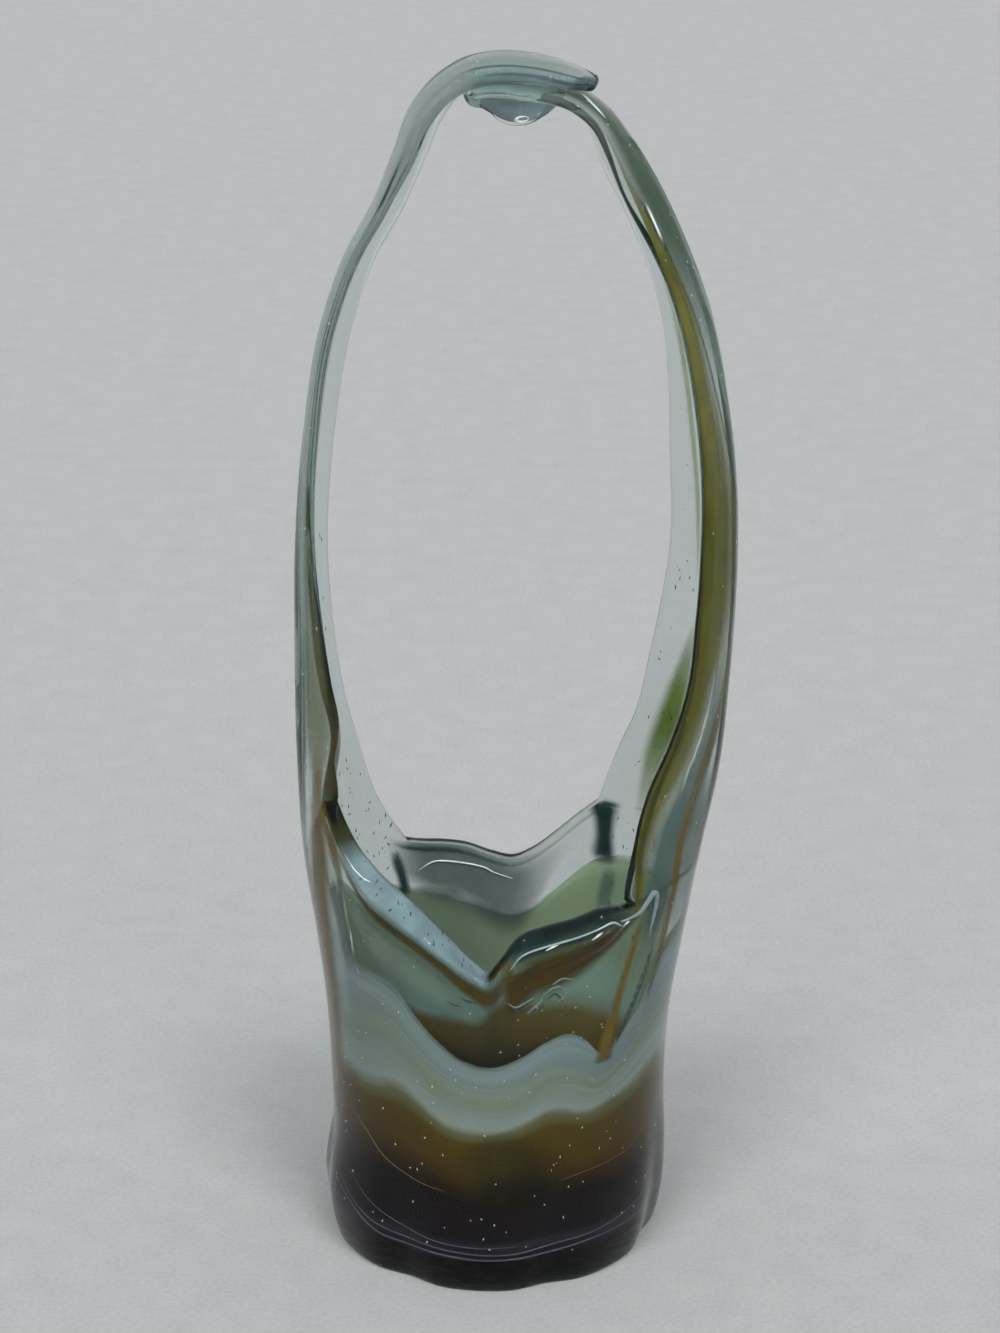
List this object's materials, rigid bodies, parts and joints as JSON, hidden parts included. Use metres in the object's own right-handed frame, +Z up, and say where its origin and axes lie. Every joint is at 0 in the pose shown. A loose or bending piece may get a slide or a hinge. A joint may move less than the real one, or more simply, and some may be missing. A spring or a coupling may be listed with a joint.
{
  "type": "basket vase",
  "caption": "Free-standing hot-worked glass basket vase: lobed cylinder body, V-shaped lips, and two pulled straps that lap at the crown as a handle",
  "frame": {"origin": "on the floor, under the middle of the vase's box; the body's own middle is 6.1 mm to its left, because the right strap reaches further out", "axes": "+Z up along the vase's height; +X towards the right strap, seen from the front; -Y is the front, with the rolled lip"},
  "size_m": [0.1366, 0.1086, 0.383],
  "materials": {
    "clear_glass": "fire-polished clear glass with a grey-aqua tint and fine seeds",
    "smoky_glass": "thick clear glass that reads smoky green over the dark cup",
    "amethyst_glass": "near-black amethyst glass",
    "amber_glass": "brown-amber glass",
    "opal_glass": "pale blue-white opal glass with a soft swirl",
    "olive_glass": "olive-amber glass"
  },
  "bodies": {
    "root": {"clear_foot": "smoky_glass", "outer_casing": "clear_glass", "amethyst_cup": "amethyst_glass", "amber_band": "amber_glass", "opal_band": "opal_glass", "inner_lining": "clear_glass", "front_lip": "clear_glass", "rolled_lip": "amber_glass", "back_lip": "clear_glass", "left_strap": "clear_glass", "amber_streak": "amber_glass", "right_strap": "clear_glass", "olive_streak": "olive_glass", "drop_tip": "clear_glass"}
  },
  "joints": []
}
